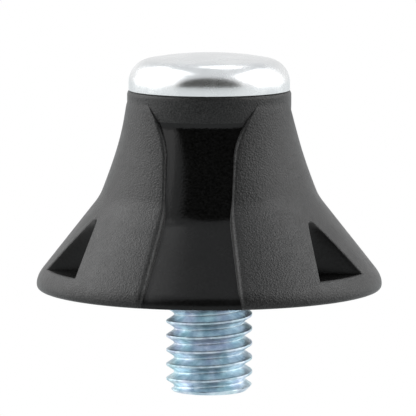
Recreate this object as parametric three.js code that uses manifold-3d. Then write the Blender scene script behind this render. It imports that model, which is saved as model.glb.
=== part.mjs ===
// Screw-in boot stud: a moulded nylon skirt on a threaded steel core, with a steel wear cap on its tip.
// Millimetres, +Z up. The origin is where the thread's axis meets the skirt's flat seating face.
// The thread points down and the tip points up. One wrench recess faces -Y.
import * as THREE from 'three';
import { mergeVertices } from 'three/addons/utils/BufferGeometryUtils.js';
import Module from 'manifold-3d';

const wasm = await Module();
wasm.setup();

// ---- Whole stud ----
const STUD_HEIGHT = 16.2;
const LOBES = 3;
const FACETS = 72;
const CORE_FACETS = 36;
const ARC_STEPS = 5;
const FLARE_STEPS = 12;
const FIT_GAP = 0.05;
const BEYOND = 2;

// ---- Nylon skirt: rim, straight cone, concave flare and collar, from the bottom up ----
const SEAT_RADIUS = 11.6;
const RIM_RADIUS = 11.9;
const RIM_Z = 0.35;
const RIM_UPRIGHT_TOP = 0.85;
const CONE_BOTTOM = new THREE.Vector2(11.4, 1.45);
const CONE_TOP = new THREE.Vector2(7.54, 6.34);
const FLARE_TOP = new THREE.Vector2(5.71, 12.65);
const COLLAR_RADIUS = 5.64;
const COLLAR_TOP = 13.65;

// The flare's two curve handles, as shares of its height.
const FLARE_LOWER_HANDLE = new THREE.Vector2(-0.22, 0.55);
const FLARE_UPPER_HANDLE = new THREE.Vector2(0.038, -0.25);

// ---- Wrench recesses, which run the full height below the collar ----
const RECESS_RIM_HALF_WIDTH = 3.7;
const RECESS_WAIST = new THREE.Vector2(2.52, 5.9);
const RECESS_SWEEP_START = new THREE.Vector2(2.62, 9.4);
const RECESS_SWEEP_Z = 10.9;
const RECESS_TOP = new THREE.Vector2(4.1, 12.6);
const RECESS_BACK_TOP = new THREE.Vector2(5.5, 11.9);
const RECESS_BACK_KINK = new THREE.Vector2(7.75, 5.3);
const RECESS_BACK_RIM = new THREE.Vector2(11.58, 0.615);
const RECESS_WALL_DRAFT = 0.5;

// ---- Triangular key notches, midway between the recesses. Their sides open out from a narrow blunt end. ----
const NOTCH_INNER_RADIUS = 8.4;
const NOTCH_INNER_HALF_WIDTH = 0.3;
const NOTCH_SIDE_SLOPE = 0.85;
const NOTCH_FLOOR = 1.5;
const NOTCH_TOP = 5.6;

// ---- Steel core: M6 thread, neck, hexagonal anchor, shank and the blind bore for the cap's stem ----
const PITCH = 1;
const THREAD_RADIUS = 2.975;
const ROOT_RADIUS = 2.43;
const THREAD_END = -7.15;
const THREAD_START = -0.45;
const THREAD_END_RADIUS = 2.55;
const CREST_PHASE = -0.123;
const NECK_RADIUS = 2.9;
const NECK_CHAMFER = 0.3;
const THREAD_START_CUT = 0.1;
const ANCHOR_BOTTOM = 1.5;
const ANCHOR_TOP = 4;
const ANCHOR_OVERLAP = 0.5;
const ANCHOR_ACROSS_CORNERS = 10;
const SHANK_RADIUS = 2.75;
const CORE_TOP = 12.4;

// ---- Steel wear cap: head and stem ----
const CAP_RADIUS = 5.54;
const CAP_BOTTOM = COLLAR_TOP + FIT_GAP;
const CAP_CORNER_RADIUS = 1.62;
const CROWN_RADIUS = 23;
const CAP_EDGE_BREAK = 0.12;
const STEM_RADIUS = 1.6;
const STEM_BOTTOM = 8.5;
const STEM_CHAMFER = 0.3;
const STEM_CLEARANCE = 0.3;
const BORE_BOTTOM = STEM_BOTTOM - STEM_CLEARANCE;

const nylon = new THREE.MeshStandardMaterial({ color: 0x26262a, roughness: 0.6, metalness: 0 });
const zincCap = new THREE.MeshStandardMaterial({ color: 0xdfe2e4, roughness: 0.2, metalness: 1 });
const zincCore = new THREE.MeshStandardMaterial({ color: 0xb9c6d6, roughness: 0.28, metalness: 1 });

// A closed solid of revolution about +Z from an outline of (radius, height) points, listed from the bottom up.
function revolve(outline, facets = FACETS) {
  const geometry = new THREE.LatheGeometry(outline, facets);
  geometry.rotateX(Math.PI / 2);
  return geometry;
}

function toSolid(geometry) {
  const bare = geometry.clone();
  bare.deleteAttribute('normal');
  bare.deleteAttribute('uv');
  const merged = mergeVertices(bare, 1e-5);
  const triVerts = withoutSlivers(merged);
  const vertProperties = new Float32Array(merged.attributes.position.array);
  return new wasm.Manifold(new wasm.Mesh({ numProp: 3, vertProperties, triVerts }));
}

// Where an outline meets the axis, its quads shrink to a line. Those triangles are dropped.
function withoutSlivers(geometry) {
  const kept = [];
  const index = geometry.index.array;
  for (let i = 0; i < index.length; i += 3) {
    const [a, b, c] = [index[i], index[i + 1], index[i + 2]];
    if (a !== b && b !== c && c !== a) kept.push(a, b, c);
  }
  return new Uint32Array(kept);
}

function toGeometry(solid) {
  const { vertProperties, triVerts } = solid.getMesh();
  const geometry = new THREE.BufferGeometry();
  geometry.setAttribute('position', new THREE.BufferAttribute(vertProperties, 3));
  geometry.setIndex(new THREE.BufferAttribute(triVerts, 1));
  geometry.computeVertexNormals();
  return geometry;
}

function piece(name, solid, material) {
  const mesh = new THREE.Mesh(toGeometry(solid), material);
  mesh.name = name;
  return mesh;
}

// Points of an arc from one angle to another, both in degrees from the outward radius.
function arc(centre, radius, fromDegrees, toDegrees, steps = ARC_STEPS) {
  const points = [];
  for (let i = 0; i <= steps; i++) {
    const angle = THREE.MathUtils.degToRad(fromDegrees + ((toDegrees - fromDegrees) * i) / steps);
    points.push(new THREE.Vector2(centre.x + radius * Math.cos(angle), centre.y + radius * Math.sin(angle)));
  }
  return points;
}

// The hollow curve that carries the steep upper wall into the wide cone. It starts at the cone.
function flare(bottom, top) {
  const height = top.y - bottom.y;
  const lower = FLARE_LOWER_HANDLE.clone().multiplyScalar(height).add(bottom);
  const upper = FLARE_UPPER_HANDLE.clone().multiplyScalar(height).add(top);
  return new THREE.CubicBezierCurve(bottom, lower, upper, top).getPoints(FLARE_STEPS);
}

function rimRounding() {
  const lower = new THREE.QuadraticBezierCurve(
    new THREE.Vector2(SEAT_RADIUS, 0),
    new THREE.Vector2(RIM_RADIUS, 0),
    new THREE.Vector2(RIM_RADIUS, RIM_Z),
  );
  const upper = new THREE.QuadraticBezierCurve(
    new THREE.Vector2(RIM_RADIUS, RIM_Z),
    new THREE.Vector2(RIM_RADIUS, RIM_UPRIGHT_TOP),
    CONE_BOTTOM,
  );
  return [...lower.getPoints(3), ...upper.getPoints(ARC_STEPS).slice(1)];
}

function skirtBlank() {
  return toSolid(revolve([
    new THREE.Vector2(0, 0),
    ...rimRounding(),
    ...flare(CONE_TOP, FLARE_TOP),
    new THREE.Vector2(COLLAR_RADIUS, FLARE_TOP.y),
    new THREE.Vector2(COLLAR_RADIUS, COLLAR_TOP),
    new THREE.Vector2(0, COLLAR_TOP),
  ]));
}

// What stays behind the recesses: the recess backs all lie on this one surface of revolution.
function recessBacks() {
  return toSolid(revolve([
    new THREE.Vector2(0, -BEYOND),
    new THREE.Vector2(RECESS_BACK_RIM.x, -BEYOND),
    RECESS_BACK_RIM,
    ...flare(RECESS_BACK_KINK, RECESS_BACK_TOP),
    new THREE.Vector2(COLLAR_RADIUS, RECESS_BACK_TOP.y),
    new THREE.Vector2(COLLAR_RADIUS, COLLAR_TOP + BEYOND),
    new THREE.Vector2(0, COLLAR_TOP + BEYOND),
  ]));
}

// The recess outline seen from in front: wide at the rim, narrow at the waist, sweeping out to the collar.
function recessOutline() {
  const [waist, start, top] = [RECESS_WAIST, RECESS_SWEEP_START, RECESS_TOP];
  const shape = new THREE.Shape();
  shape.moveTo(RECESS_RIM_HALF_WIDTH, -BEYOND);
  shape.lineTo(RECESS_RIM_HALF_WIDTH, RIM_Z);
  shape.lineTo(waist.x, waist.y);
  shape.lineTo(start.x, start.y);
  shape.quadraticCurveTo(start.x, RECESS_SWEEP_Z, top.x, top.y);
  shape.lineTo(-top.x, top.y);
  shape.quadraticCurveTo(-start.x, RECESS_SWEEP_Z, -start.x, start.y);
  shape.lineTo(-waist.x, waist.y);
  shape.lineTo(-RECESS_RIM_HALF_WIDTH, RIM_Z);
  shape.lineTo(-RECESS_RIM_HALF_WIDTH, -BEYOND);
  return shape;
}

// A prism along -Y through the front of the skirt, whose sides draw in towards the axis.
function recessPrism() {
  const depth = RIM_RADIUS + BEYOND;
  const geometry = new THREE.ExtrudeGeometry(recessOutline(), { depth, bevelEnabled: false, curveSegments: 5 });
  geometry.rotateX(Math.PI / 2);
  const position = geometry.attributes.position;
  for (let i = 0; i < position.count; i++) {
    const [x, y, z] = [position.getX(i), position.getY(i), position.getZ(i)];
    const surface = skirtRadius(z);
    position.setX(i, x - Math.sign(x) * RECESS_WALL_DRAFT * (surface + y));
  }
  return toSolid(geometry);
}

// The skirt's own radius at a height, near enough to place the recess walls' draft.
function skirtRadius(z) {
  const onCone = THREE.MathUtils.mapLinear(z, CONE_BOTTOM.y, CONE_TOP.y, CONE_BOTTOM.x, CONE_TOP.x);
  const onFlare = THREE.MathUtils.mapLinear(z, CONE_TOP.y, FLARE_TOP.y, CONE_TOP.x, FLARE_TOP.x);
  return THREE.MathUtils.clamp(z < CONE_TOP.y ? onCone : onFlare, COLLAR_RADIUS, RIM_RADIUS);
}

// A vertical wedge-shaped pocket on +Y, open through the cone, with a level floor.
function notchPrism() {
  const outer = RIM_RADIUS + BEYOND;
  const outerHalfWidth = NOTCH_INNER_HALF_WIDTH + NOTCH_SIDE_SLOPE * (outer - NOTCH_INNER_RADIUS);
  const shape = new THREE.Shape();
  shape.moveTo(NOTCH_INNER_HALF_WIDTH, NOTCH_INNER_RADIUS);
  shape.lineTo(outerHalfWidth, outer);
  shape.lineTo(-outerHalfWidth, outer);
  shape.lineTo(-NOTCH_INNER_HALF_WIDTH, NOTCH_INNER_RADIUS);
  const geometry = new THREE.ExtrudeGeometry(shape, { depth: NOTCH_TOP - NOTCH_FLOOR, bevelEnabled: false });
  geometry.translate(0, 0, NOTCH_FLOOR);
  return toSolid(geometry);
}

// The core's outside without its thread and anchor, grown by a gap where it has to shape the cavity around it.
function coreBlank(gap) {
  return toSolid(revolve([
    new THREE.Vector2(0, THREAD_START),
    new THREE.Vector2(ROOT_RADIUS, THREAD_START),
    new THREE.Vector2(NECK_RADIUS + gap, THREAD_START + NECK_CHAMFER),
    new THREE.Vector2(NECK_RADIUS + gap, ANCHOR_BOTTOM + ANCHOR_OVERLAP),
    new THREE.Vector2(SHANK_RADIUS + gap, ANCHOR_TOP - ANCHOR_OVERLAP),
    new THREE.Vector2(SHANK_RADIUS + gap, CORE_TOP + gap),
    new THREE.Vector2(0, CORE_TOP + gap),
  ], CORE_FACETS));
}

function anchor(gap) {
  const radius = ANCHOR_ACROSS_CORNERS / 2 + gap;
  return toSolid(revolve([
    new THREE.Vector2(0, ANCHOR_BOTTOM - gap),
    new THREE.Vector2(radius, ANCHOR_BOTTOM - gap),
    new THREE.Vector2(radius, ANCHOR_TOP + gap),
    new THREE.Vector2(0, ANCHOR_TOP + gap),
  ], 6));
}

function stemBore(radius, bottom, top) {
  return toSolid(revolve([
    new THREE.Vector2(0, bottom),
    new THREE.Vector2(radius, bottom),
    new THREE.Vector2(radius, top),
    new THREE.Vector2(0, top),
  ], CORE_FACETS));
}

// One pitch of the thread's profile, as (share of the pitch, radius): a crest flat, a flank and a root flat.
const TOOTH = [[-0.07, THREAD_RADIUS], [0.07, THREAD_RADIUS], [0.38, ROOT_RADIUS], [0.62, ROOT_RADIUS]];

// A right-handed helical screw, longer than the thread at both ends. Every column of points is the tooth profile
// raised by its share of a turn, so the last column meets the first one tooth further up.
function screw() {
  const firstTurn = Math.floor(THREAD_END / PITCH) - 2;
  const lastTurn = 2;
  const rows = [];
  for (let turn = firstTurn; turn <= lastTurn; turn++) {
    for (const [share, radius] of TOOTH) {
      rows.push({ radius, height: (turn + share + CREST_PHASE) * PITCH });
    }
  }
  const outline = [
    new THREE.Vector2(0, rows[0].height),
    ...rows.map((row) => new THREE.Vector2(row.radius, row.height)),
    new THREE.Vector2(0, rows[rows.length - 1].height),
  ];
  const geometry = revolve(outline, CORE_FACETS);
  const position = geometry.attributes.position;
  const perColumn = outline.length;
  for (let i = 0; i < position.count; i++) {
    const row = i % perColumn;
    const onAxis = row === 0 || row === perColumn - 1;
    const turned = Math.floor(i / perColumn) / CORE_FACETS;
    if (!onAxis) position.setZ(i, position.getZ(i) + turned * PITCH);
  }
  geometry.setIndex([...geometry.index.array, ...screwEndFaces(perColumn)]);
  return toSolid(geometry);
}

// The lift leaves a one-pitch step at each end, between the first column and the last. A fan closes each step.
function screwEndFaces(perColumn) {
  const bottom = 0;
  const top = perColumn - 1;
  const lastColumnTop = CORE_FACETS * perColumn + top;
  const faces = [];
  for (let i = 1; i <= TOOTH.length; i++) {
    faces.push(bottom, i, i + 1);
    faces.push(top, lastColumnTop - i, lastColumnTop - i - 1);
  }
  return faces;
}

// The envelope that ends the thread: chamfered at the free end and cut square under the neck.
function threadEnvelope() {
  const outside = THREAD_RADIUS + THREAD_START_CUT;
  return toSolid(revolve([
    new THREE.Vector2(0, THREAD_END),
    new THREE.Vector2(THREAD_END_RADIUS, THREAD_END),
    new THREE.Vector2(outside, THREAD_END + outside - THREAD_END_RADIUS),
    new THREE.Vector2(outside, THREAD_START - THREAD_START_CUT),
    new THREE.Vector2(ROOT_RADIUS, THREAD_START + THREAD_START_CUT),
    new THREE.Vector2(0, THREAD_START + THREAD_START_CUT),
  ]));
}

function nylonBody() {
  let body = skirtBlank();
  const recess = recessPrism().subtract(recessBacks());
  const notch = notchPrism();
  for (let i = 0; i < LOBES; i++) {
    const turn = (i * 360) / LOBES;
    body = body.subtract(recess.rotate([0, 0, turn])).subtract(notch.rotate([0, 0, turn]));
  }
  return body
    .subtract(coreBlank(FIT_GAP))
    .subtract(anchor(FIT_GAP))
    .subtract(stemBore(STEM_RADIUS + FIT_GAP, CORE_TOP - 1, COLLAR_TOP + 1));
}

function threadedCore() {
  return screw()
    .intersect(threadEnvelope())
    .add(coreBlank(0))
    .add(anchor(0))
    .subtract(stemBore(STEM_RADIUS + FIT_GAP, BORE_BOTTOM, CORE_TOP + 1));
}

// The head's corner arc runs from its upright side to where it meets the crown's much larger arc.
function wearCap() {
  const crownCentreZ = STUD_HEIGHT - CROWN_RADIUS;
  const cornerCentreR = CAP_RADIUS - CAP_CORNER_RADIUS;
  const crownToCorner = CROWN_RADIUS - CAP_CORNER_RADIUS;
  const cornerCentreZ = crownCentreZ + Math.sqrt(crownToCorner ** 2 - cornerCentreR ** 2);
  const meetDegrees = 90 - THREE.MathUtils.radToDeg(Math.asin(cornerCentreR / crownToCorner));
  const corner = arc(new THREE.Vector2(cornerCentreR, cornerCentreZ), CAP_CORNER_RADIUS, 0, meetDegrees, 8);
  const crown = arc(new THREE.Vector2(0, crownCentreZ), CROWN_RADIUS, meetDegrees, 90, 4).slice(1, -1);
  return toSolid(revolve([
    new THREE.Vector2(0, STEM_BOTTOM),
    new THREE.Vector2(STEM_RADIUS - STEM_CHAMFER, STEM_BOTTOM),
    new THREE.Vector2(STEM_RADIUS, STEM_BOTTOM + STEM_CHAMFER),
    new THREE.Vector2(STEM_RADIUS, CAP_BOTTOM),
    new THREE.Vector2(CAP_RADIUS - CAP_EDGE_BREAK, CAP_BOTTOM),
    new THREE.Vector2(CAP_RADIUS, CAP_BOTTOM + CAP_EDGE_BREAK),
    ...corner,
    ...crown,
    new THREE.Vector2(0, STUD_HEIGHT),
  ]));
}

const group = new THREE.Group();
group.add(piece('nylon_body', nylonBody(), nylon));
group.add(piece('threaded_core', threadedCore(), zincCore));
group.add(piece('wear_cap', wearCap(), zincCap));

export default group;
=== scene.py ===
# Screw-in boot stud: a black nylon skirt on a threaded steel core, with a rounded steel wear cap.
# Lengths are in millimetres until a mesh is made, and angles start at -Y and turn towards +X.
import bpy
import math
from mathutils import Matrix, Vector


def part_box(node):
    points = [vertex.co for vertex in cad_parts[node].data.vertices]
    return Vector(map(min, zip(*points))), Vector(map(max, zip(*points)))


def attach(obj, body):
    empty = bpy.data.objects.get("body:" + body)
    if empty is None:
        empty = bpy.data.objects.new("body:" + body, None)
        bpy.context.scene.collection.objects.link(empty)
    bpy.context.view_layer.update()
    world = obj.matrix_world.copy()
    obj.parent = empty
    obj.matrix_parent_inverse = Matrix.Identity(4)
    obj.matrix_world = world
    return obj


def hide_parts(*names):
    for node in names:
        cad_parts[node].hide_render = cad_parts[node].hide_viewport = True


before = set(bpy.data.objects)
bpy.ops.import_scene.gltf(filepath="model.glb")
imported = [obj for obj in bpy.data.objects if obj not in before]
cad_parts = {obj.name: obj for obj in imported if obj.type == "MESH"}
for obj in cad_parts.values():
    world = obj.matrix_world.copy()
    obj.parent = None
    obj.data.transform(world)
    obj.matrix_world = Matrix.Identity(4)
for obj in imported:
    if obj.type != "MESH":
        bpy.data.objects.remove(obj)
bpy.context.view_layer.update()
MM = 0.001
TINY = 1e-9

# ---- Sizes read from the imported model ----
COLLAR_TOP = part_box("nylon_body")[1].z / MM
RIM_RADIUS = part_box("nylon_body")[1].x / MM
THREAD_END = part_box("threaded_core")[0].z / MM
CORE_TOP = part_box("threaded_core")[1].z / MM
CAP_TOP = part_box("wear_cap")[1].z / MM
CAP_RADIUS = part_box("wear_cap")[1].x / MM
STEM_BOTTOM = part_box("wear_cap")[0].z / MM

# ---- Nylon skirt, as (radius, height) ----
LOBES = 3
SEAT_RADIUS = 11.6
RIM_Z = 0.35
RIM_PULL = 0.6
CONE_BOTTOM = (11.4, 1.45)
CONE_TOP = (7.54, 6.34)
FLARE_TOP = (5.71, 12.65)
COLLAR_RADIUS = 5.64
COLLAR_BAND = 0.3
COLLAR_EDGE = 0.2
# How far the middle of the collar's rounded edge is cut back, as a share of COLLAR_EDGE.
COLLAR_EDGE_SHARE = 0.3
SHOULDER_TOP = 12.95
KINK_SOFTENING = 0.45
SHOULDER_SOFTENING = 0.14
# How far the flare's two control points lie from its ends, as shares of its height.
FLARE_LOWER_PULL = (-0.22, 0.55)
FLARE_UPPER_PULL = (0.038, -0.25)

# ---- Wrench recesses ----
RECESS_RIM = (3.7, RIM_Z)
RECESS_WAIST = (2.52, 5.9)
RECESS_SWEEP_START = (2.62, 9.4)
RECESS_SWEEP_Z = 10.9
RECESS_TOP = (4.1, 12.6)
RECESS_RUN_OUT = (4.5, 13.05)
WALL_DRAFT = 0.5
BACK_TOP = (5.5, 11.9)
BACK_KINK = (7.75, 5.3)
BACK_SOFTENING = 0.4
BACK_RIM = (11.58, 0.615)
BACK_BLEND_START = 11.3
BACK_BLEND_TOP = 12.65
BACK_BLEND_LEAN = 0.03
BACK_BLEND_PULLS = (0.33, 0.6)

# ---- Key notches ----
NOTCH_INNER_RADIUS = 8.4
NOTCH_INNER_HALF_WIDTH = 0.3
NOTCH_SIDE_SLOPE = 0.85
NOTCH_FLOOR = 1.5
# Above a notch its columns fan out to this angle over this height.
FAN_ANGLE = math.radians(9)
FAN_HEIGHT = 1.6

# ---- Moulded edges, each with the largest share of its wall that it may take up ----
EDGE_ROUND = 0.34
EDGE_SHARE = 0.8
FOOT_ROUND = 0.03
FOOT_SHARE = 0.12
NOTCH_ROUND = 0.13
NOTCH_SHARE = 0.4
# How far the last row lies under a notch's floor, as a share of NOTCH_ROUND.
LIP_SHARE = 0.3
# The largest share of the way between two corners that a rounding may reach.
REACH_LIMIT = 0.85

# ---- Threaded core ----
PITCH = 1.0
THREAD_RADIUS = 2.975
ROOT_RADIUS = 2.43
THREAD_START = -0.45
THREAD_END_RADIUS = 2.55
CREST_PHASE = -0.123
# The thread runs out to its root over this far to both sides of THREAD_START.
RUN_OUT_REACH = 0.1
RUN_OUT_CLEARANCE = 0.1
NECK_START = -0.15
NECK_RADIUS = 2.9
ANCHOR_BOTTOM = 1.5
ANCHOR_TOP = 4.0
ANCHOR_CORNER = 5.0
SHANK_RADIUS = 2.75
BORE_RADIUS = 1.65
BORE_BOTTOM = 8.2
# The tooth's two bends as (radius, share of the pitch from the crest's middle).
CREST_BEND = ((THREAD_RADIUS, 0.045), (THREAD_RADIUS, 0.07), (THREAD_RADIUS - 0.045, 0.10))
ROOT_BEND = ((ROOT_RADIUS + 0.13, 0.34), (ROOT_RADIUS, 0.43), (ROOT_RADIUS, 0.5))

# ---- The core's pocket in the nylon ----
FIT_GAP = 0.05
MOUTH_CHAMFER = 0.15

# ---- Wear cap ----
CAP_GAP = 0.01
CAP_BOTTOM = COLLAR_TOP + CAP_GAP
CAP_CORNER_RADIUS = 1.62
CROWN_RADIUS = 23.0
CAP_EDGE_BREAK = 0.06
STEM_RADIUS = 1.6
STEM_CHAMFER = 0.3

# ---- Mesh density: columns round the stud ----
BACK_COLUMNS = 8
ROUND_COLUMNS = 4
LOBE_COLUMNS = 22
NOTCH_COLUMNS = 7
CORE_COLUMNS = 144
CAP_COLUMNS = 160

# ---- Mesh density: pieces of each curve ----
SOFTENING_STEPS = 10
RIM_LOWER_STEPS = 6
RIM_UPPER_STEPS = 8
FLARE_STEPS = 48
BLEND_STEPS = 16
SWEEP_STEPS = 24
CREST_STEPS = 6
ROOT_STEPS = 8
CAP_EDGE_STEPS = 4
CAP_CORNER_STEPS = 20
CROWN_STEPS = 10

# ---- Mesh density: heights of rows ----
CONE_ROW = 0.2
KINK_ROW = 0.09
FLARE_ROW = 0.17
SHOULDER_ROW = 0.065
ROW_CLEARANCE = 0.05
FINE_ROWS_START = 11.8
# Turns of thread made past each end, where they are squeezed flat.
SPARE_TURNS = 2
# Where the rows cross half a tooth, as shares of the pitch.
TOOTH_SHARES = [0.025, 0.045, 0.06, 0.075, 0.095, 0.12, 0.18, 0.24, 0.30, 0.34, 0.38, 0.41, 0.44, 0.47]

# ---- Meshes: rings on the flat faces, decimals that tell vertices apart, angle that counts as sharp ----
SEAT_RINGS = (6, 9)
COLLAR_RING = 4
MERGE_DIGITS = 4
SHARP_ANGLE = math.radians(38)

# ---- Finishes: sizes and heights of the noise in mm, and ranges as (from, to) ----
# The range that most of the noise's values lie in.
NOISE_SPREAD = (0.3, 0.7)
BLACK = (0.0, 0.0, 0.0)

GRAIN_SIZE = 0.12
GRAIN_HEIGHT = 0.042
SPECKLE_SIZE = 0.10
SPECKLE_COLOUR = (0.024, 0.0238, 0.0234)
MOTTLE_SIZE = 0.9
MOTTLE_HEIGHT = 0.008
GRAINED_ROUGHNESS = (0.37, 0.44)
GRAINED_IOR = 1.40
GRAINED_SHEEN = 0.11
GRAINED_SHEEN_ROUGHNESS = 0.4

# The recess backs are polished from POLISH_BOTTOM to POLISH_TOP and satin below SATIN_TOP.
POLISH_TOP = 11.85
POLISH_BOTTOM = 6.0
SATIN_TOP = 4.8
POLISHED_COLOUR = (0.005, 0.005, 0.005)
POLISHED_ROUGHNESS = (0.08, 0.13)
SATIN_ROUGHNESS = (0.24, 0.30)
POLISHED_IOR = 1.36
POLISHED_FINE_SIZE = 0.15
POLISHED_FINE_HEIGHT = 0.006
SWIRL_SIZE = 2.2
SWIRL_HEIGHT = 0.01

CAP_COLOURS = ((0.80, 0.815, 0.825), (0.885, 0.895, 0.90))
CAP_ROUGHNESS = (0.22, 0.30)
CAP_CLOUD_SIZE = 1.4
CAP_FINE_SIZE = 0.15
CAP_FINE_HEIGHT = 0.0025

THREAD_DEEP_COLOURS = ((0.49, 0.56, 0.70), (0.39, 0.59, 0.64))
THREAD_PALE_COLOURS = ((0.78, 0.84, 0.94), (0.69, 0.88, 0.93))
THREAD_ROUGHNESS = (0.34, 0.46)
THREAD_TINT_SIZE = 1.6
THREAD_CLOUD_SIZE = 0.55
THREAD_CLOUD_SPREAD = (0.36, 0.64)
THREAD_FINE_SIZE = 0.14
THREAD_FINE_HEIGHT = 0.012

# ---- Studio: sizes are in metres, but for the gap, and lights' angles in degrees ----
FLOOR_SIZE = 4.0
FLOOR_GAP = 0.02
FLOOR_COLOUR = (0.80, 0.83, 0.84)
WALL_COLOUR = (0.84, 0.84, 0.84)
CEILING_COLOUR = (0.70, 0.715, 0.73)
CEILING_START = math.radians(15)
CEILING_FULL = math.radians(50)
DARK_COLOUR = (0.055, 0.055, 0.05)
DARK_AZIMUTH = math.radians(47)
DARK_ELEVATION = math.radians(48)
DARK_SQUARENESS = 2.1
DARK_SOFT_EDGE = (1.10, 0.90)
LIGHT_DISTANCE = 1.0
# Each light's name, azimuth, elevation, width, height and radiance.
LIGHTS = [
    ("left_softbox", -103, 40, 1.0, 0.60, 3.4),
    ("left_low", -99, 6, 1.10, 0.40, 1.9),
    ("left_high", -78, 64, 0.60, 0.20, 1.1),
    ("left_spill", -64, 30, 0.50, 0.8, 0.75),
    ("right_softbox", 92, 40, 0.95, 0.48, 3.25),
    ("right_low", 97, 8, 1.05, 0.42, 1.75),
    ("right_spill", 62, 32, 0.34, 0.6, 0.7),
    ("rear_strip", 164, 65, 0.30, 0.22, 3.0),
]

# ---- Camera: lengths are in millimetres, but for the clip distances, and the azimuth in degrees ----
CAMERA_AZIMUTH = 6
CAMERA_DISTANCE = 286
CAMERA_HEIGHT = 38.7
CAMERA_TARGET = (-0.085, 0, 5.5)
CAMERA_LENS = 361.7
CAMERA_SENSOR = 36
CAMERA_CLIP = (0.01, 20)


# ---- Curves ----
def mix(a, b, t):
    return a + (b - a) * t


def mix_point(a, b, t):
    return tuple(mix(p, q, t) for p, q in zip(a, b))


def quadratic(a, control, b, t):
    return mix_point(mix_point(a, control, t), mix_point(control, b, t), t)


def cubic(a, first, second, b, t):
    return mix_point(quadratic(a, first, second, t), quadratic(first, second, b, t), t)


def quadratic_points(a, control, b, steps):
    return [quadratic(a, control, b, i / steps) for i in range(steps + 1)]


def cubic_points(a, first, second, b, steps):
    return [cubic(a, first, second, b, i / steps) for i in range(steps + 1)]


def arc(centre, radius, start, end, steps):
    angles = [mix(start, end, i / steps) for i in range(steps + 1)]
    return [(centre[0] + radius * math.cos(a), centre[1] + radius * math.sin(a)) for a in angles]


def polar(radius, angle):
    return (radius * math.sin(angle), -radius * math.cos(angle))


def rotated(point, turn):
    x, y = point
    return (x * math.cos(turn) - y * math.sin(turn), x * math.sin(turn) + y * math.cos(turn))


def along(a, b, distance):
    """The point at a distance from a towards b, which stops short of b itself."""
    length = math.dist(a, b)
    return mix_point(a, b, min(REACH_LIMIT, distance / max(length, TINY)))


def spaced(low, high, step):
    """Evenly spaced values from low to high, about a step apart."""
    count = max(1, round((high - low) / step))
    return [mix(low, high, i / count) for i in range(count + 1)]


def radius_on(curve, z):
    """The radius of a rising (radius, height) polyline at a height."""
    if z <= curve[0][1]:
        return curve[0][0]
    for (r0, z0), (r1, z1) in zip(curve, curve[1:]):
        if z <= z1:
            return mix(r0, r1, (z - z0) / max(z1 - z0, TINY))
    return curve[-1][0]


def soften(curve, kink_z, reach):
    """Replaces the corner at kink_z by a smooth bend that reaches this far to both sides."""
    low, high = kink_z - reach, kink_z + reach
    start = (radius_on(curve, low), low)
    corner = (radius_on(curve, kink_z), kink_z)
    end = (radius_on(curve, high), high)
    below = [p for p in curve if p[1] < low]
    above = [p for p in curve if p[1] > high]
    return below + quadratic_points(start, corner, end, SOFTENING_STEPS) + above


# ---- Nylon skirt ----
def flare(bottom, top):
    """The hollow curve that carries the steep upper wall into the wide cone."""
    height = top[1] - bottom[1]
    lower = (bottom[0] + FLARE_LOWER_PULL[0] * height, bottom[1] + FLARE_LOWER_PULL[1] * height)
    upper = (top[0] + FLARE_UPPER_PULL[0] * height, top[1] + FLARE_UPPER_PULL[1] * height)
    return cubic_points(bottom, lower, upper, top, FLARE_STEPS)


def rim_curve():
    """The skirt's foot, from the seating face out round the rim and up to the cone."""
    rim = (RIM_RADIUS, RIM_Z)
    control = (RIM_RADIUS, CONE_BOTTOM[1] - RIM_PULL)
    lower = quadratic_points((SEAT_RADIUS, 0), (RIM_RADIUS, 0), rim, RIM_LOWER_STEPS)
    upper = quadratic_points(rim, control, CONE_BOTTOM, RIM_UPPER_STEPS)
    return lower + upper[1:]


def skirt_curve():
    """The outside of the lobes, with a faint rounded shoulder where they end under the collar."""
    collar = [(COLLAR_RADIUS, SHOULDER_TOP), (COLLAR_RADIUS, COLLAR_TOP)]
    curve = RIM_CURVE + flare(CONE_TOP, FLARE_TOP) + collar
    curve = soften(curve, CONE_TOP[1], KINK_SOFTENING)
    curve = soften(curve, FLARE_TOP[1], SHOULDER_SOFTENING)
    return soften(curve, SHOULDER_TOP, SHOULDER_SOFTENING)


def back_curve():
    """The backs of the wrench recesses, which run out into the collar without a ledge."""
    curve = [(BACK_RIM[0], 0), BACK_RIM] + flare(BACK_KINK, BACK_TOP)
    curve = soften(curve, BACK_KINK[1], BACK_SOFTENING)
    curve = soften(curve, BACK_RIM[1], BACK_SOFTENING)
    lower_pull, upper_pull = BACK_BLEND_PULLS
    start = (radius_on(curve, BACK_BLEND_START), BACK_BLEND_START)
    lower = (BACK_TOP[0] + BACK_BLEND_LEAN, mix(BACK_BLEND_START, BACK_BLEND_TOP, lower_pull))
    upper = (COLLAR_RADIUS, mix(BACK_BLEND_START, BACK_BLEND_TOP, upper_pull))
    end = (COLLAR_RADIUS, BACK_BLEND_TOP)
    below = [p for p in curve if p[1] < BACK_BLEND_START]
    return below + cubic_points(start, lower, upper, end, BLEND_STEPS)


def notch_apex_height():
    """The height at which the middle of the notch's blunt end meets the cone."""
    rise = (CONE_BOTTOM[0] - NOTCH_INNER_RADIUS) / (CONE_BOTTOM[0] - CONE_TOP[0])
    return mix(CONE_BOTTOM[1], CONE_TOP[1], rise)


def recess_curve():
    """Half the recess as seen from in front, as (half width, height): wide rim, narrow waist, swept top."""
    control = (RECESS_SWEEP_START[0], RECESS_SWEEP_Z)
    sweep = quadratic_points(RECESS_SWEEP_START, control, RECESS_TOP, SWEEP_STEPS)
    curve = [RECESS_RIM, RECESS_WAIST] + sweep + [RECESS_RUN_OUT]
    return soften(curve, RECESS_WAIST[1], KINK_SOFTENING)


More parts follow.
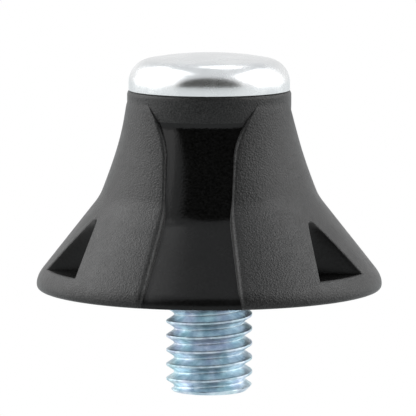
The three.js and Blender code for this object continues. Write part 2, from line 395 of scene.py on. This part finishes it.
RIM_CURVE = rim_curve()
SKIRT_CURVE = skirt_curve()
BACK_CURVE = back_curve()
RECESS_CURVE = recess_curve()
NOTCH_TOP = notch_apex_height()


def wall_angle(radius, surface, half_width):
    """Where the drafted recess wall crosses a circle, as an angle from the recess's middle."""
    lean = math.atan(WALL_DRAFT)
    return lean + math.asin((half_width - WALL_DRAFT * surface) * math.cos(lean) / radius)


def notch_edge_angle(radius):
    """Half the notch's opening on a circle, as an angle from the notch's middle."""
    if radius < math.hypot(NOTCH_INNER_RADIUS, NOTCH_INNER_HALF_WIDTH):
        return math.acos(min(1, NOTCH_INNER_RADIUS / radius))
    lean = math.atan(NOTCH_SIDE_SLOPE)
    vertex = NOTCH_INNER_RADIUS - NOTCH_INNER_HALF_WIDTH / NOTCH_SIDE_SLOPE
    return lean - math.asin(vertex * math.sin(lean) / radius)


def notch_opening(z, surface):
    """Half the angle that the notch's columns take up in the row at a height."""
    if z > NOTCH_TOP:
        return FAN_ANGLE * min(1, (z - NOTCH_TOP) / FAN_HEIGHT)
    radius = surface if z > NOTCH_FLOOR else radius_on(SKIRT_CURVE, NOTCH_FLOOR)
    return notch_edge_angle(max(radius, NOTCH_INNER_RADIUS))


def half_recess(z, surface):
    """Plan points from a recess's middle to the end of its rounded edge, and the angle of that end."""
    back = min(radius_on(BACK_CURVE, z), surface)
    half_width = radius_on(RECESS_CURVE, z)
    edge_angle = wall_angle(surface, surface, half_width)
    foot_angle = wall_angle(back, surface, half_width)
    edge = polar(surface, edge_angle)
    foot = polar(back, foot_angle)
    wall = math.dist(edge, foot)
    foot_round = min(FOOT_ROUND, FOOT_SHARE * wall)
    edge_round = min(EDGE_ROUND, EDGE_SHARE * wall)
    before_foot = foot_angle - foot_round / back
    after_edge = edge_angle + edge_round / surface
    points = [polar(back, before_foot * i / BACK_COLUMNS) for i in range(BACK_COLUMNS)]
    points += quadratic_points(polar(back, before_foot), foot, along(foot, edge, foot_round), ROUND_COLUMNS)
    points += quadratic_points(along(edge, foot, edge_round), edge, polar(surface, after_edge), ROUND_COLUMNS)
    return points, after_edge


def half_sector(z, mode):
    """Plan points of one row from a recess's middle to the next notch's middle. The mode says what the row
    does in the notch: "surface" keeps to the skirt, "lip" steps onto the notch's floor and "wall" follows
    its side walls."""
    surface = radius_on(SKIRT_CURVE, z)
    points, lobe_start = half_recess(z, surface)
    middle = math.pi / LOBES
    opening = notch_opening(z, surface)
    inner = polar(NOTCH_INNER_RADIUS, middle)
    corner = polar(surface, middle - opening)
    corner_round = min(NOTCH_ROUND, NOTCH_SHARE * math.dist(inner, corner)) if z <= NOTCH_TOP else 0
    lobe_end = middle - opening - corner_round / surface
    points += [polar(surface, mix(lobe_start, lobe_end, i / LOBE_COLUMNS)) for i in range(1, LOBE_COLUMNS)]
    if mode == "wall":
        after_corner = along(corner, inner, corner_round)
        points += quadratic_points(polar(surface, lobe_end), corner, after_corner, ROUND_COLUMNS)
        return points + [mix_point(points[-1], inner, i / NOTCH_COLUMNS) for i in range(1, NOTCH_COLUMNS + 1)]
    across = ROUND_COLUMNS + NOTCH_COLUMNS
    inset = NOTCH_ROUND if mode == "lip" else 0
    for i in range(across + 1):
        radius = surface - inset * min(1, i / ROUND_COLUMNS)
        points.append(polar(radius, mix(lobe_end, middle, i / across)))
    return points


def whole_row(half, z):
    """Repeats a half sector, mirrored, round the stud. The last point closes the row on the first."""
    sector = [(-x, y) for x, y in reversed(half[1:])] + half[:-1]
    row = []
    for lobe in range(LOBES):
        turn = 2 * math.pi * lobe / LOBES
        row += [rotated(p, turn) + (z,) for p in sector]
    return row + [row[0]]


def at_radius(half, radius):
    """The same angles as a row, all moved to one radius."""
    return [(x * radius / math.hypot(x, y), y * radius / math.hypot(x, y)) for x, y in half]


def skirt_rows():
    """Every row of the skirt's outside, from the seating face to the collar, as (height, mode)."""
    below_floor = NOTCH_FLOOR - NOTCH_ROUND
    rows = [(z, "surface") for _, z in RIM_CURVE if z < below_floor - ROW_CLEARANCE]
    rows += [(below_floor, "surface"), (NOTCH_FLOOR - LIP_SHARE * NOTCH_ROUND, "surface")]
    rows += [(NOTCH_FLOOR, "lip")]
    rows += [(z, "wall") for z in spaced(NOTCH_FLOOR, NOTCH_TOP, CONE_ROW)]
    kink_start = CONE_TOP[1] - KINK_SOFTENING
    kink_end = CONE_TOP[1] + KINK_SOFTENING
    stretches = [
        (NOTCH_TOP, kink_start, CONE_ROW),
        (kink_start, kink_end, KINK_ROW),
        (kink_end, FINE_ROWS_START, FLARE_ROW),
        (FINE_ROWS_START, SHOULDER_TOP + SHOULDER_SOFTENING, SHOULDER_ROW),
    ]
    for low, high, step in stretches:
        rows += [(z, "surface") for z in spaced(low, high, step)[1:]]
    return rows


def collar_profile():
    """The collar's rounded top edge and the flat inside it."""
    cut = COLLAR_EDGE_SHARE * COLLAR_EDGE
    return [
        (COLLAR_RADIUS, COLLAR_TOP - COLLAR_BAND),
        (COLLAR_RADIUS, COLLAR_TOP - COLLAR_EDGE),
        (COLLAR_RADIUS - cut, COLLAR_TOP - cut),
        (COLLAR_RADIUS - COLLAR_EDGE, COLLAR_TOP),
        (COLLAR_RING, COLLAR_TOP),
    ]


def pocket_profile():
    """The pocket that the core sits in, from the collar down to its mouth, and the seating face round it."""
    roof = CORE_TOP + FIT_GAP
    shank = SHANK_RADIUS + FIT_GAP
    anchor = ANCHOR_CORNER + FIT_GAP
    anchor_roof = ANCHOR_TOP + FIT_GAP
    anchor_floor = ANCHOR_BOTTOM - FIT_GAP
    neck = NECK_RADIUS + FIT_GAP
    pocket = [(BORE_RADIUS, COLLAR_TOP), (BORE_RADIUS, roof), (shank, roof), (shank, anchor_roof)]
    pocket += [(anchor, anchor_roof), (anchor, anchor_floor), (neck, anchor_floor)]
    pocket += [(neck, MOUTH_CHAMFER), (neck + MOUTH_CHAMFER, 0)]
    return pocket + [(radius, 0) for radius in SEAT_RINGS]


def build_nylon():
    outside = skirt_rows()
    seat = half_sector(0, "surface")
    top = half_sector(SHOULDER_TOP + SHOULDER_SOFTENING, "surface")
    rows = [whole_row(half_sector(z, mode), z) for z, mode in outside]
    rows += [whole_row(at_radius(top, r), z) for r, z in collar_profile()]
    rows += [whole_row(at_radius(seat, r), z) for r, z in pocket_profile()]
    rows.append(rows[0])
    half_columns = len(seat) - 1
    recess_columns = BACK_COLUMNS + ROUND_COLUMNS

    def finish_of(row, column):
        """Material 1, the polish, for the recess backs and the notches, and material 0 for the rest."""
        if row >= len(outside) - 1:
            return 0
        z = outside[row][0]
        from_middle = abs((column + 0.5) % (2 * half_columns) - half_columns)
        in_recess = from_middle < recess_columns and z < POLISH_TOP
        in_notch = from_middle > half_columns - NOTCH_COLUMNS and NOTCH_FLOOR <= z < NOTCH_TOP
        return 1 if in_recess or in_notch else 0

    return mesh_object("nylon_skirt", rows, finish_of)


# ---- Meshes ----
def weld(rows):
    """The vertices of rows of points, and the rows as vertex numbers. Coinciding points share a vertex."""
    found = {}
    grid = []
    for row in rows:
        keys = [tuple(round(c, MERGE_DIGITS) + 0.0 for c in point) for point in row]
        grid.append([found.setdefault(key, len(found)) for key in keys])
    return [Vector(key) * MM for key in found], grid


def faces_between(grid, finish_of):
    """The faces between neighbouring rows, less those with no area, and the material number of each."""
    faces = []
    finishes = []
    for j in range(len(grid) - 1):
        for i in range(len(grid[0]) - 1):
            loop = [grid[j][i], grid[j][i + 1], grid[j + 1][i + 1], grid[j + 1][i]]
            face = [v for k, v in enumerate(loop) if v != loop[k - 1]]
            if len(set(face)) == len(face) and len(face) > 2:
                faces.append(face)
                finishes.append(finish_of(j, i) if finish_of else 0)
    return faces, finishes


def mesh_object(name, rows, finish_of=None):
    """A closed mesh from rows of points, whose first and last rows meet or shrink to a point."""
    vertices, grid = weld(rows)
    faces, finishes = faces_between(grid, finish_of)
    mesh = bpy.data.meshes.new(name)
    mesh.from_pydata(vertices, [], faces)
    mesh.polygons.foreach_set("material_index", finishes)
    mesh.validate()
    mesh.shade_smooth()
    mesh.set_sharp_from_angle(angle=SHARP_ANGLE)
    piece = bpy.data.objects.new(name, mesh)
    bpy.context.scene.collection.objects.link(piece)
    weighted = piece.modifiers.new("weighted_normals", "WEIGHTED_NORMAL")
    weighted.keep_sharp = True
    return piece


# ---- Threaded core ----
def ring(radius, z, columns):
    turns = [2 * math.pi * (i % columns) / columns for i in range(columns + 1)]
    return [polar(radius, turn) + (z,) for turn in turns]


def tooth_curve():
    """Half a tooth as (radius, share of the pitch), from the crest's middle to the root's middle."""
    crest = quadratic_points(*CREST_BEND, CREST_STEPS)
    root = quadratic_points(*ROOT_BEND, ROOT_STEPS)
    return [(THREAD_RADIUS, 0)] + crest + root


TOOTH_CURVE = tooth_curve()


def tooth_radius(share):
    """The thread's radius over one pitch, with its crest at 0: narrow crest, straight flanks, round root."""
    share = abs((share + 0.5) % 1 - 0.5)
    return radius_on(TOOTH_CURVE, share)


def envelope_radius(z):
    """What the thread is cut down to: a 45 degree chamfer at its end and a run-out under the skirt."""
    at_end = THREAD_END_RADIUS + (z - THREAD_END)
    run_out = min(1, max(0, (z - THREAD_START + RUN_OUT_REACH) / (2 * RUN_OUT_REACH)))
    at_start = mix(THREAD_RADIUS + RUN_OUT_CLEARANCE, ROOT_RADIUS, run_out)
    return min(at_end, at_start)


def thread_point(height, turned):
    """One point of the thread. Heights are in pitches, and are kept between the thread's two ends."""
    low, high = THREAD_END / PITCH, (THREAD_START + RUN_OUT_REACH) / PITCH
    height = min(high, max(low, height + CREST_PHASE + turned))
    radius = min(tooth_radius(height - CREST_PHASE - turned), envelope_radius(height * PITCH))
    return polar(radius, 2 * math.pi * (turned % 1)) + (height * PITCH,)


def thread_rows():
    """Rows that follow the helix, with enough of them to cover both ends."""
    shares = [-0.5] + [-share for share in reversed(TOOTH_SHARES)] + [0] + TOOTH_SHARES
    rows = []
    for turn in range(math.floor(THREAD_END / PITCH) - SPARE_TURNS, SPARE_TURNS + 1):
        for share in shares:
            rows.append([thread_point(turn + share, c / CORE_COLUMNS) for c in range(CORE_COLUMNS + 1)])
    return rows


def anchor_ring(z):
    """A hexagon with a corner towards -Y."""
    half_face = math.pi / 6
    row = []
    for i in range(CORE_COLUMNS + 1):
        turn = 2 * math.pi * (i % CORE_COLUMNS) / CORE_COLUMNS
        from_face = turn % (2 * half_face) - half_face
        row.append(polar(ANCHOR_CORNER * math.cos(half_face) / math.cos(from_face), turn) + (z,))
    return row


def build_core():
    neck = [(NECK_RADIUS, NECK_START), (NECK_RADIUS, ANCHOR_BOTTOM)]
    shank = [(SHANK_RADIUS, ANCHOR_TOP), (SHANK_RADIUS, CORE_TOP)]
    bore = [(BORE_RADIUS, CORE_TOP), (BORE_RADIUS, BORE_BOTTOM), (0, BORE_BOTTOM)]
    rows = [ring(0, THREAD_END, CORE_COLUMNS)] + thread_rows()
    rows += [ring(r, z, CORE_COLUMNS) for r, z in neck]
    rows += [anchor_ring(ANCHOR_BOTTOM), anchor_ring(ANCHOR_TOP)]
    rows += [ring(r, z, CORE_COLUMNS) for r, z in shank + bore]
    return mesh_object("threaded_steel_core", rows)


# ---- Wear cap ----
def cap_profile():
    """The cap's outline from its stem's end round the edge to the middle of the crown. The rounded corner
    touches both the side wall and the crown."""
    crown_z = CAP_TOP - CROWN_RADIUS
    corner_r = CAP_RADIUS - CAP_CORNER_RADIUS
    reach = CROWN_RADIUS - CAP_CORNER_RADIUS
    corner_z = crown_z + math.sqrt(reach**2 - corner_r**2)
    meet = math.acos(corner_r / reach)
    corner = arc((corner_r, corner_z), CAP_CORNER_RADIUS, 0, meet, CAP_CORNER_STEPS)
    crown = arc((0, crown_z), CROWN_RADIUS, meet, math.pi / 2, CROWN_STEPS)[1:-1]
    edge_centre = (CAP_RADIUS - CAP_EDGE_BREAK, CAP_BOTTOM + CAP_EDGE_BREAK)
    edge = arc(edge_centre, CAP_EDGE_BREAK, -math.pi / 2, 0, CAP_EDGE_STEPS)
    stem = [(0, STEM_BOTTOM), (STEM_RADIUS - STEM_CHAMFER, STEM_BOTTOM)]
    stem += [(STEM_RADIUS, STEM_BOTTOM + STEM_CHAMFER), (STEM_RADIUS, CAP_BOTTOM)]
    return stem + edge + corner + crown + [(0, CAP_TOP)]


def build_cap():
    return mesh_object("steel_wear_cap", [ring(r, z, CAP_COLUMNS) for r, z in cap_profile()])


# ---- Shader nodes ----
def new_material(name):
    """A new node material, with its node tree and its Principled shader."""
    material = bpy.data.materials.new(name)
    material.use_nodes = True
    return material, material.node_tree, material.node_tree.nodes["Principled BSDF"]


def add_noise(tree, size_mm, detail):
    """Noise with features of about size_mm on the object."""
    coordinates = tree.nodes.new("ShaderNodeTexCoord")
    noise = tree.nodes.new("ShaderNodeTexNoise")
    noise.inputs["Scale"].default_value = 1 / (size_mm * MM)
    noise.inputs["Detail"].default_value = detail
    tree.links.new(coordinates.outputs["Object"], noise.inputs["Vector"])
    return noise.outputs["Fac"]


def add_range(tree, source, result, spread=NOISE_SPREAD):
    """Carries values that lie in the spread over to the result, both given as (from, to)."""
    node = tree.nodes.new("ShaderNodeMapRange")
    node.inputs["From Min"].default_value = spread[0]
    node.inputs["From Max"].default_value = spread[1]
    node.inputs["To Min"].default_value = result[0]
    node.inputs["To Max"].default_value = result[1]
    tree.links.new(source, node.inputs["Value"])
    return node.outputs["Result"]


def smooth_step(tree, source, low, high):
    step = tree.nodes.new("ShaderNodeMapRange")
    step.interpolation_type = "SMOOTHSTEP"
    step.inputs["From Min"].default_value = low
    step.inputs["From Max"].default_value = high
    tree.links.new(source, step.inputs["Value"])
    return step.outputs["Result"]


def add_colours(tree, source, dark, light):
    """A colour for each value of the noise, from dark to light."""
    ramp = tree.nodes.new("ShaderNodeValToRGB")
    for element, position, colour in zip(ramp.color_ramp.elements, NOISE_SPREAD, (dark, light)):
        element.position = position
        element.color = (*colour, 1)
    tree.links.new(source, ramp.inputs["Fac"])
    return ramp.outputs["Color"]


def add_bump(tree, source, height_mm, over=None):
    """A bump of this height from a value, on top of another bump's normal if one is given."""
    bump = tree.nodes.new("ShaderNodeBump")
    bump.inputs["Strength"].default_value = 1
    bump.inputs["Distance"].default_value = height_mm * MM
    tree.links.new(source, bump.inputs["Height"])
    if over:
        tree.links.new(over, bump.inputs["Normal"])
    return bump.outputs["Normal"]


def object_height(tree):
    split = tree.nodes.new("ShaderNodeSeparateXYZ")
    tree.links.new(tree.nodes.new("ShaderNodeTexCoord").outputs["Object"], split.inputs["Vector"])
    return split.outputs["Z"]


def mix_values(tree, factor, first, second):
    blend = tree.nodes.new("ShaderNodeMix")
    tree.links.new(factor, blend.inputs["Factor"])
    tree.links.new(first, blend.inputs["A"])
    tree.links.new(second, blend.inputs["B"])
    return blend.outputs["Result"]


def mix_colours(tree, factor, first, second):
    """A blend of two colours. Each is a socket or a plain colour."""
    blend = tree.nodes.new("ShaderNodeMix")
    blend.data_type = "RGBA"
    tree.links.new(factor, blend.inputs["Factor"])
    for name, colour in (("A", first), ("B", second)):
        if isinstance(colour, tuple):
            blend.inputs[name].default_value = (*colour, 1)
        else:
            tree.links.new(colour, blend.inputs[name])
    return blend.outputs["Result"]


def add_math(tree, operation, *sources):
    """A maths node. Each source is a socket or a number."""
    node = tree.nodes.new("ShaderNodeMath")
    node.operation = operation
    for socket, source in zip(node.inputs, sources):
        if isinstance(source, (int, float)):
            socket.default_value = source
        else:
            tree.links.new(source, socket)
    return node.outputs["Value"]


def dot_with(tree, ray, axis):
    dot = tree.nodes.new("ShaderNodeVectorMath")
    dot.operation = "DOT_PRODUCT"
    tree.links.new(ray, dot.inputs[0])
    dot.inputs[1].default_value = axis
    return dot.outputs["Value"]


def camera_sees_white(tree, lit):
    """The colour lit for every ray but the camera's own, which sees plain white paper."""
    path = tree.nodes.new("ShaderNodeLightPath")
    return mix_colours(tree, path.outputs["Is Camera Ray"], lit, (1, 1, 1))


# ---- Materials ----
def grained_nylon():
    """Black nylon with a finely spark-eroded grain."""
    material, tree, shader = new_material("grained_black_nylon")
    grain = add_noise(tree, GRAIN_SIZE, detail=2)
    speckle = add_noise(tree, SPECKLE_SIZE, detail=1)
    mottle = add_noise(tree, MOTTLE_SIZE, detail=2)
    tree.links.new(add_colours(tree, speckle, BLACK, SPECKLE_COLOUR), shader.inputs["Base Color"])
    tree.links.new(add_range(tree, mottle, GRAINED_ROUGHNESS), shader.inputs["Roughness"])
    broad = add_bump(tree, mottle, MOTTLE_HEIGHT)
    tree.links.new(add_bump(tree, grain, GRAIN_HEIGHT, over=broad), shader.inputs["Normal"])
    shader.inputs["IOR"].default_value = GRAINED_IOR
    shader.inputs["Sheen Weight"].default_value = GRAINED_SHEEN
    shader.inputs["Sheen Roughness"].default_value = GRAINED_SHEEN_ROUGHNESS
    return material


def polished_nylon():
    """Black nylon that is polished above POLISH_BOTTOM and satin below SATIN_TOP."""
    material, tree, shader = new_material("polished_black_nylon")
    fine = add_noise(tree, POLISHED_FINE_SIZE, detail=3)
    swirl = add_noise(tree, SWIRL_SIZE, detail=2)
    tree.links.new(add_colours(tree, fine, BLACK, POLISHED_COLOUR), shader.inputs["Base Color"])
    polish = add_range(tree, swirl, POLISHED_ROUGHNESS)
    satin = add_range(tree, swirl, SATIN_ROUGHNESS)
    height = add_range(tree, object_height(tree), (0, 1), (SATIN_TOP * MM, POLISH_BOTTOM * MM))
    tree.links.new(mix_values(tree, height, satin, polish), shader.inputs["Roughness"])
    waves = add_bump(tree, swirl, SWIRL_HEIGHT)
    tree.links.new(add_bump(tree, fine, POLISHED_FINE_HEIGHT, over=waves), shader.inputs["Normal"])
    shader.inputs["IOR"].default_value = POLISHED_IOR
    return material


def cap_zinc():
    """Bright zinc plate with a soft satin cloud."""
    material, tree, shader = new_material("bright_zinc_cap")
    cloud = add_noise(tree, CAP_CLOUD_SIZE, detail=3)
    fine = add_noise(tree, CAP_FINE_SIZE, detail=2)
    tree.links.new(add_colours(tree, cloud, *CAP_COLOURS), shader.inputs["Base Color"])
    tree.links.new(add_range(tree, cloud, CAP_ROUGHNESS), shader.inputs["Roughness"])
    tree.links.new(add_bump(tree, fine, CAP_FINE_HEIGHT), shader.inputs["Normal"])
    shader.inputs["Metallic"].default_value = 1
    return material


def thread_zinc():
    """Blue passivated zinc, whose tint wanders between cyan and violet."""
    material, tree, shader = new_material("blue_zinc_thread")
    tint = add_noise(tree, THREAD_TINT_SIZE, detail=2)
    cloud = add_noise(tree, THREAD_CLOUD_SIZE, detail=6)
    fine = add_noise(tree, THREAD_FINE_SIZE, detail=3)
    deep = add_colours(tree, tint, *THREAD_DEEP_COLOURS)
    pale = add_colours(tree, tint, *THREAD_PALE_COLOURS)
    worn = add_range(tree, cloud, (0, 1), THREAD_CLOUD_SPREAD)
    tree.links.new(mix_colours(tree, worn, deep, pale), shader.inputs["Base Color"])
    tree.links.new(add_range(tree, fine, THREAD_ROUGHNESS), shader.inputs["Roughness"])
    tree.links.new(add_bump(tree, fine, THREAD_FINE_HEIGHT), shader.inputs["Normal"])
    shader.inputs["Metallic"].default_value = 1
    return material


def carry(piece, node, materials):
    """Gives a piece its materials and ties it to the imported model."""
    for material in materials:
        piece.data.materials.append(material)
    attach(piece, "root")
    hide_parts(node)


# ---- Studio ----
def direction(azimuth, elevation):
    """A unit vector for an azimuth from the camera's side towards +X and an elevation, in degrees."""
    a = math.radians(azimuth + CAMERA_AZIMUTH)
    e = math.radians(elevation)
    return Vector((math.sin(a) * math.cos(e), -math.cos(a) * math.cos(e), math.sin(e)))


def add_light(name, azimuth, elevation, width, height, radiance):
    """A rectangular soft light that faces the stud. Radiance is what a mirror would show."""
    data = bpy.data.lights.new(name, "AREA")
    data.shape = "RECTANGLE"
    data.size = width
    data.size_y = height
    data.energy = radiance * math.pi * width * height
    light = bpy.data.objects.new(name, data)
    towards = direction(azimuth, elevation)
    light.location = towards * LIGHT_DISTANCE
    light.rotation_mode = "QUATERNION"
    light.rotation_quaternion = towards.to_track_quat("Z", "Y")
    bpy.context.scene.collection.objects.link(light)
    light.visible_camera = False


def floor_paper():
    """Pale paper that glows evenly."""
    material = bpy.data.materials.new("studio_floor")
    material.use_nodes = True
    tree = material.node_tree
    tree.nodes.clear()
    output = tree.nodes.new("ShaderNodeOutputMaterial")
    glow = tree.nodes.new("ShaderNodeEmission")
    tree.links.new(camera_sees_white(tree, FLOOR_COLOUR), glow.inputs["Color"])
    tree.links.new(glow.outputs["Emission"], output.inputs["Surface"])
    return material


def add_floor():
    """A pale floor just under the thread's end."""
    mesh = bpy.data.meshes.new("studio_floor")
    half = FLOOR_SIZE / 2
    z = (THREAD_END - FLOOR_GAP) * MM
    corners = [(-half, -half, z), (half, -half, z), (half, half, z), (-half, half, z)]
    mesh.from_pydata(corners, [], [(0, 1, 2, 3)])
    mesh.materials.append(floor_paper())
    floor = bpy.data.objects.new("studio_floor", mesh)
    bpy.context.scene.collection.objects.link(floor)


def dark_side(tree, ray):
    """1 inside a nearly elliptical patch of directions round the camera's side, and 0 outside it."""
    ahead = dot_with(tree, ray, direction(0, 0))
    aside = dot_with(tree, ray, direction(90, 0))
    up = dot_with(tree, ray, (0, 0, 1))
    azimuth = add_math(tree, "ABSOLUTE", add_math(tree, "ARCTAN2", aside, ahead))
    elevation = add_math(tree, "ABSOLUTE", add_math(tree, "ARCSINE", up))
    reach = []
    for angle, limit in ((azimuth, DARK_AZIMUTH), (elevation, DARK_ELEVATION)):
        share = add_math(tree, "DIVIDE", angle, limit)
        reach.append(add_math(tree, "POWER", share, DARK_SQUARENESS))
    return smooth_step(tree, add_math(tree, "ADD", *reach), *DARK_SOFT_EDGE)


def add_world():
    """Pale studio walls and a greyer ceiling, with a dark stretch low on the side where the camera stands."""
    world = bpy.data.worlds.new("studio")
    bpy.context.scene.world = world
    world.use_nodes = True
    tree = world.node_tree
    ray = tree.nodes.new("ShaderNodeTexCoord").outputs["Generated"]
    height = dot_with(tree, ray, (0, 0, 1))
    is_ceiling = smooth_step(tree, height, math.sin(CEILING_START), math.sin(CEILING_FULL))
    pale = mix_colours(tree, is_ceiling, WALL_COLOUR, CEILING_COLOUR)
    studio = mix_colours(tree, dark_side(tree, ray), pale, DARK_COLOUR)
    tree.links.new(camera_sees_white(tree, studio), tree.nodes["Background"].inputs["Color"])


def add_studio():
    for light in LIGHTS:
        add_light(*light)
    add_floor()
    add_world()
    bpy.context.scene.view_settings.view_transform = "Standard"
    bpy.context.scene.view_settings.look = "None"


def add_camera():
    data = bpy.data.cameras.new("camera")
    data.lens = CAMERA_LENS
    data.sensor_width = CAMERA_SENSOR
    data.clip_start, data.clip_end = CAMERA_CLIP
    camera = bpy.data.objects.new("camera", data)
    azimuth = math.radians(CAMERA_AZIMUTH)
    camera.location = Vector((*polar(CAMERA_DISTANCE, azimuth), CAMERA_HEIGHT)) * MM
    target = Vector(CAMERA_TARGET) * MM
    camera.rotation_mode = "QUATERNION"
    camera.rotation_quaternion = (target - camera.location).to_track_quat("-Z", "Y")
    bpy.context.scene.collection.objects.link(camera)
    bpy.context.scene.camera = camera


carry(build_nylon(), "nylon_body", [grained_nylon(), polished_nylon()])
carry(build_core(), "threaded_core", [thread_zinc()])
carry(build_cap(), "wear_cap", [cap_zinc()])
add_studio()
add_camera()
